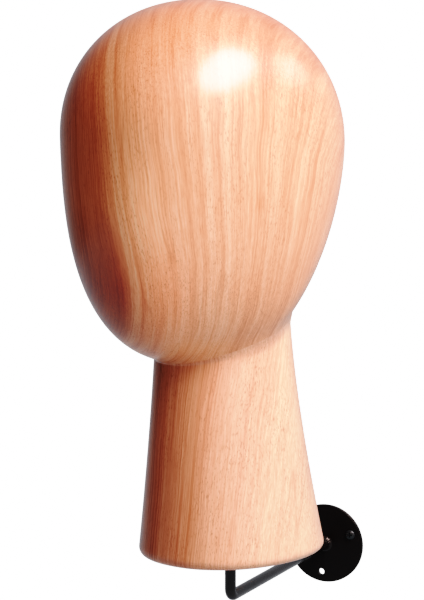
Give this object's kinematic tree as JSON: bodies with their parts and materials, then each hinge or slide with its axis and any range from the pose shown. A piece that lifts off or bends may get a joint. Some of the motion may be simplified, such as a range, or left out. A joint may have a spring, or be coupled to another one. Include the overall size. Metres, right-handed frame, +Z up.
{
  "type": "wooden display head on a wall bracket",
  "caption": "Smooth faceless wooden head with a flaring oval neck, turning on the upright post of a black steel wall bracket with a round screw plate.",
  "frame": {"origin": "centre of the wall plate's back face, on the wall's surface", "axes": "+Y points into the wall, so the arm runs along -Y into the room; +Z is up, along the post"},
  "size_m": [0.1674, 0.3162, 0.426],
  "materials": {
    "head_wood": "satin clear lacquer",
    "neck_wood": "satin clear lacquer",
    "dowel_wood": "plain",
    "zinc_steel": "zinc plated",
    "white_nylon": "moulded",
    "black_paint": "gloss black",
    "black_screw": "satin black"
  },
  "bodies": {
    "bracket": {"wall_plate": "black_paint", "bracket_rod": "black_paint", "rod_weld": "black_paint", "wall_screw_right": "black_screw", "wall_screw_left": "black_screw"},
    "button": {"thrust_button": "white_nylon"},
    "head": {"head_block": "head_wood", "neck_block": "neck_wood", "joint_dowel_left": "dowel_wood", "joint_dowel_right": "dowel_wood", "post_sleeve": "zinc_steel", "sleeve_plug": "zinc_steel"}
  },
  "joints": [
    {"name": "head_swivel", "type": "hinge", "parent": "bracket", "child": "button", "pos_m": [0, -0.182, 0.108], "axis": [0, 0, 1], "continuous": true},
    {"name": "head_lift", "type": "slide", "parent": "button", "child": "head", "axis": [0, 0, 1], "range_m": [0, 0.078]}
  ]
}
